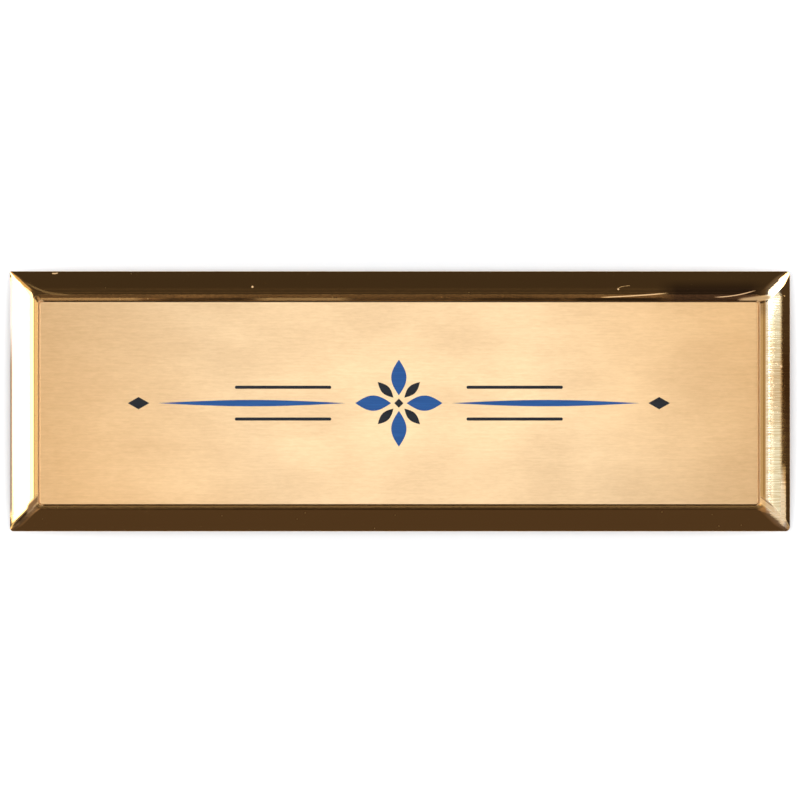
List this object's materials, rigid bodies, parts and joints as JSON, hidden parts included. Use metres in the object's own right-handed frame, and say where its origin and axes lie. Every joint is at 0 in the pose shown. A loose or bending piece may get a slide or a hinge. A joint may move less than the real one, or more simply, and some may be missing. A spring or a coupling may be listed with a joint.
{
  "type": "framed name badge with bar pin",
  "caption": "Slim rectangular name badge: polished bevelled metal frame, brushed plate set in its pocket, and a bar pin on the back.",
  "frame": {"origin": "on the surface that the badge rests on, under the middle of its outline", "axes": "+X along the badge's length, to the right as it is read; +Y up its face; +Z out of its face, away from the pin"},
  "size_m": [0.0762, 0.0254, 0.0066],
  "materials": {
    "polished_gold": "mirror-polished gold plate on pressed brass",
    "brushed_gold": "gold-anodised, brushed along its length",
    "nickel": "nickel-plated steel, lightly worn",
    "print_ink": "thin printed ink, satin"
  },
  "bodies": {
    "root": {"frame": "polished_gold", "insert_plate": "brushed_gold", "bar_pin": "nickel"}
  },
  "joints": []
}
